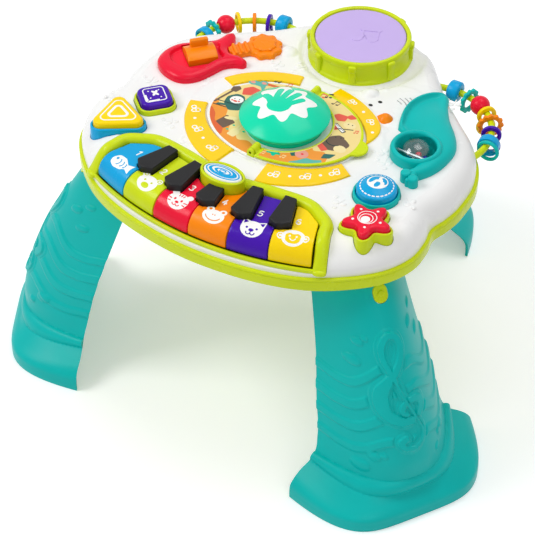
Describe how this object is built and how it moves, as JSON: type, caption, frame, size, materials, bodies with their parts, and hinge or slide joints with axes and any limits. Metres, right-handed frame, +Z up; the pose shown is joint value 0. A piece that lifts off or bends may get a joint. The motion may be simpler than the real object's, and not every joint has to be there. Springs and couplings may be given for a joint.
{
  "type": "musical activity table",
  "caption": "Three-legged musical play table with piano keys, press buttons, strum guitar, drum, flip page, rattle ball and bead rails.",
  "frame": {"origin": "on the floor under the middle of the table top, at the centre of the circle that the three legs stand on", "axes": "+Z up; the piano keyboard faces -Y, the drum and the back leg are at +Y, the horn is at +X and the guitar at -X"},
  "size_m": [0.524, 0.4684, 0.296],
  "materials": {
    "white_plastic": "satin moulded ABS",
    "lime_plastic": "satin moulded ABS",
    "teal_plastic": "fine-grained moulded polypropylene",
    "blue_plastic": "glossy moulded ABS",
    "red_plastic": "glossy moulded ABS",
    "orange_plastic": "glossy moulded ABS",
    "purple_plastic": "glossy moulded ABS",
    "yellow_plastic": "glossy moulded ABS",
    "black_plastic": "satin moulded ABS",
    "lilac_plastic": "fine-grained moulded polypropylene",
    "dome_green": "translucent moulded polypropylene",
    "clear_plastic": "clear moulded polystyrene",
    "steel": "drawn steel pin",
    "board": "green solder resist",
    "cell": "printed steel can"
  },
  "bodies": {
    "table": {"base_shell": "lime_plastic", "top_shell": "white_plastic", "leg_back": "teal_plastic", "leg_left": "teal_plastic", "leg_right": "teal_plastic", "piano_frame": "lime_plastic", "black_keys": "black_plastic", "lime_bezels": "lime_plastic", "blue_bezel": "blue_plastic", "teal_bezel": "teal_plastic", "guitar_body": "red_plastic", "guitar_neck": "orange_plastic", "drum_rim": "lime_plastic", "picture_plate": "white_plastic", "light_arcs": "yellow_plastic", "horn": "teal_plastic", "bird_face": "orange_plastic", "bead_rails": "lime_plastic", "steel_pins": "steel", "circuit_boards": "board", "batteries": "cell", "battery_door": "lime_plastic", "speaker": "black_plastic", "shell_screws": "steel"},
    "latch_back": {"latch_back": "lime_plastic"},
    "latch_left": {"latch_left": "lime_plastic"},
    "latch_right": {"latch_right": "lime_plastic"},
    "key_1": {"key_1": "blue_plastic"},
    "key_2": {"key_2": "lime_plastic"},
    "key_3": {"key_3": "red_plastic"},
    "key_4": {"key_4": "orange_plastic"},
    "key_5": {"key_5": "purple_plastic"},
    "key_6": {"key_6": "yellow_plastic"},
    "mode_button": {"mode_button": "white_plastic"},
    "square_button": {"square_button": "purple_plastic"},
    "triangle_button": {"triangle_button": "yellow_plastic"},
    "round_button": {"round_button": "blue_plastic"},
    "star_button": {"star_button": "red_plastic"},
    "centre_dome": {"centre_dome": "dome_green"},
    "drum_head": {"drum_head": "lilac_plastic"},
    "guitar_strummer": {"guitar_strummer": "orange_plastic"},
    "rattle_ball": {"rattle_ball": "clear_plastic"},
    "flip_page": {"flip_page": "lime_plastic"},
    "bead_r1": {"bead_r1": "blue_plastic"},
    "bead_r2": {"bead_r2": "teal_plastic"},
    "bead_r3": {"bead_r3": "red_plastic"},
    "bead_r4": {"bead_r4": "yellow_plastic"},
    "bead_r5": {"bead_r5": "orange_plastic"},
    "bead_r6": {"bead_r6": "purple_plastic"},
    "bead_r7": {"bead_r7": "blue_plastic"},
    "bead_r8": {"bead_r8": "teal_plastic"},
    "bead_l1": {"bead_l1": "blue_plastic"},
    "bead_l2": {"bead_l2": "teal_plastic"},
    "bead_l3": {"bead_l3": "red_plastic"},
    "bead_l4": {"bead_l4": "yellow_plastic"},
    "bead_l5": {"bead_l5": "orange_plastic"},
    "bead_l6": {"bead_l6": "purple_plastic"},
    "bead_l7": {"bead_l7": "blue_plastic"},
    "power_switch": {"power_switch": "black_plastic"}
  },
  "joints": [
    {"name": "latch_back_press", "type": "slide", "parent": "table", "child": "latch_back", "axis": [0, -0.848, -0.5299], "range_m": [0, 0.002], "stiffness_N_per_m": 60, "springref_m": -0.004},
    {"name": "latch_left_press", "type": "slide", "parent": "table", "child": "latch_left", "axis": [0.7344, 0.424, -0.5299], "range_m": [0, 0.002], "stiffness_N_per_m": 60, "springref_m": -0.004},
    {"name": "latch_right_press", "type": "slide", "parent": "table", "child": "latch_right", "axis": [-0.7344, 0.424, -0.5299], "range_m": [0, 0.002], "stiffness_N_per_m": 60, "springref_m": -0.004},
    {"name": "key_1_press", "type": "hinge", "parent": "table", "child": "key_1", "pos_m": [0, -0.096, 0.256], "axis": [1, 0, 0], "range_deg": [0, 2.5], "stiffness_Nm_per_rad": 0.05, "springref_deg": -11.46},
    {"name": "key_2_press", "type": "hinge", "parent": "table", "child": "key_2", "pos_m": [0, -0.096, 0.256], "axis": [1, 0, 0], "range_deg": [0, 2.5], "stiffness_Nm_per_rad": 0.05, "springref_deg": -11.46},
    {"name": "key_3_press", "type": "hinge", "parent": "table", "child": "key_3", "pos_m": [0, -0.096, 0.256], "axis": [1, 0, 0], "range_deg": [0, 2.5], "stiffness_Nm_per_rad": 0.05, "springref_deg": -11.46},
    {"name": "key_4_press", "type": "hinge", "parent": "table", "child": "key_4", "pos_m": [0, -0.096, 0.256], "axis": [1, 0, 0], "range_deg": [0, 2.5], "stiffness_Nm_per_rad": 0.05, "springref_deg": -11.46},
    {"name": "key_5_press", "type": "hinge", "parent": "table", "child": "key_5", "pos_m": [0, -0.096, 0.256], "axis": [1, 0, 0], "range_deg": [0, 2.5], "stiffness_Nm_per_rad": 0.05, "springref_deg": -11.46},
    {"name": "key_6_press", "type": "hinge", "parent": "table", "child": "key_6", "pos_m": [0, -0.096, 0.256], "axis": [1, 0, 0], "range_deg": [0, 2.5], "stiffness_Nm_per_rad": 0.05, "springref_deg": -11.46},
    {"name": "mode_button_press", "type": "slide", "parent": "table", "child": "mode_button", "axis": [0, 0, -1], "range_m": [0, 0.0015], "stiffness_N_per_m": 100, "springref_m": -0.003},
    {"name": "square_button_press", "type": "slide", "parent": "table", "child": "square_button", "axis": [0, 0, -1], "range_m": [0, 0.003], "stiffness_N_per_m": 150, "springref_m": -0.004},
    {"name": "triangle_button_press", "type": "slide", "parent": "table", "child": "triangle_button", "axis": [0, 0, -1], "range_m": [0, 0.003], "stiffness_N_per_m": 150, "springref_m": -0.004},
    {"name": "round_button_press", "type": "slide", "parent": "table", "child": "round_button", "axis": [0, 0, -1], "range_m": [0, 0.003], "stiffness_N_per_m": 150, "springref_m": -0.004},
    {"name": "star_button_press", "type": "slide", "parent": "table", "child": "star_button", "axis": [0, 0, -1], "range_m": [0, 0.003], "stiffness_N_per_m": 150, "springref_m": -0.004},
    {"name": "centre_dome_press", "type": "slide", "parent": "table", "child": "centre_dome", "axis": [0, 0, -1], "range_m": [0, 0.003], "stiffness_N_per_m": 300, "springref_m": -0.004},
    {"name": "drum_head_press", "type": "slide", "parent": "table", "child": "drum_head", "axis": [0, 0, -1], "range_m": [0, 0.002], "stiffness_N_per_m": 300, "springref_m": -0.004},
    {"name": "strummer_rock", "type": "hinge", "parent": "table", "child": "guitar_strummer", "pos_m": [-0.124, 0.036, 0.262], "axis": [0.6494, 0.7604, 0], "range_deg": [-12, 12], "stiffness_Nm_per_rad": 0.05},
    {"name": "rattle_ball_spin", "type": "hinge", "parent": "table", "child": "rattle_ball", "pos_m": [0.123, 0.025, 0.266], "axis": [1, 0, 0], "continuous": true},
    {"name": "page_flip", "type": "hinge", "parent": "table", "child": "flip_page", "pos_m": [0, -0.005, 0.2744], "axis": [0, -1, 0], "range_deg": [0, 175]},
    {"name": "bead_r1_slide", "type": "hinge", "parent": "table", "child": "bead_r1", "pos_m": [0.0967, 0.086, 0.25], "axis": [0, 0, 1], "range_deg": [-5.5, 0.4]},
    {"name": "bead_r2_slide", "type": "hinge", "parent": "table", "child": "bead_r2", "pos_m": [0.0967, 0.086, 0.25], "axis": [0, 0, 1], "range_deg": [-2.6, 5.5]},
    {"name": "bead_r3_slide", "type": "hinge", "parent": "table", "child": "bead_r3", "pos_m": [0.0967, 0.086, 0.25], "axis": [0, 0, 1], "range_deg": [-0.8, 2.6]},
    {"name": "bead_r4_slide", "type": "hinge", "parent": "table", "child": "bead_r4", "pos_m": [0.0967, 0.086, 0.25], "axis": [0, 0, 1], "range_deg": [-7, 0.8]},
    {"name": "bead_r5_slide", "type": "hinge", "parent": "table", "child": "bead_r5", "pos_m": [0.0967, 0.086, 0.25], "axis": [0, 0, 1], "range_deg": [-10, 7]},
    {"name": "bead_r6_slide", "type": "hinge", "parent": "table", "child": "bead_r6", "pos_m": [0.0967, 0.086, 0.25], "axis": [0, 0, 1], "range_deg": [-4.8, 10]},
    {"name": "bead_r7_slide", "type": "hinge", "parent": "table", "child": "bead_r7", "pos_m": [0.0967, 0.086, 0.25], "axis": [0, 0, 1], "range_deg": [-1, 4.8]},
    {"name": "bead_r8_slide", "type": "hinge", "parent": "table", "child": "bead_r8", "pos_m": [0.0967, 0.086, 0.25], "axis": [0, 0, 1], "range_deg": [-0.5, 1]},
    {"name": "bead_l1_slide", "type": "hinge", "parent": "table", "child": "bead_l1", "pos_m": [-0.0967, 0.086, 0.25], "axis": [0, 0, -1], "range_deg": [-0.5, 3]},
    {"name": "bead_l2_slide", "type": "hinge", "parent": "table", "child": "bead_l2", "pos_m": [-0.0967, 0.086, 0.25], "axis": [0, 0, -1], "range_deg": [-3, 1.9]},
    {"name": "bead_l3_slide", "type": "hinge", "parent": "table", "child": "bead_l3", "pos_m": [-0.0967, 0.086, 0.25], "axis": [0, 0, -1], "range_deg": [-1.9, 1.4]},
    {"name": "bead_l4_slide", "type": "hinge", "parent": "table", "child": "bead_l4", "pos_m": [-0.0967, 0.086, 0.25], "axis": [0, 0, -1], "range_deg": [-1.4, 9.4]},
    {"name": "bead_l5_slide", "type": "hinge", "parent": "table", "child": "bead_l5", "pos_m": [-0.0967, 0.086, 0.25], "axis": [0, 0, -1], "range_deg": [-9.4, 9]},
    {"name": "bead_l6_slide", "type": "hinge", "parent": "table", "child": "bead_l6", "pos_m": [-0.0967, 0.086, 0.25], "axis": [0, 0, -1], "range_deg": [-9, 5]},
    {"name": "bead_l7_slide", "type": "hinge", "parent": "table", "child": "bead_l7", "pos_m": [-0.0967, 0.086, 0.25], "axis": [0, 0, -1], "range_deg": [-5, 0.4]},
    {"name": "power_switch_slide", "type": "slide", "parent": "table", "child": "power_switch", "axis": [1, 0, 0], "range_m": [0, 0.008]}
  ]
}
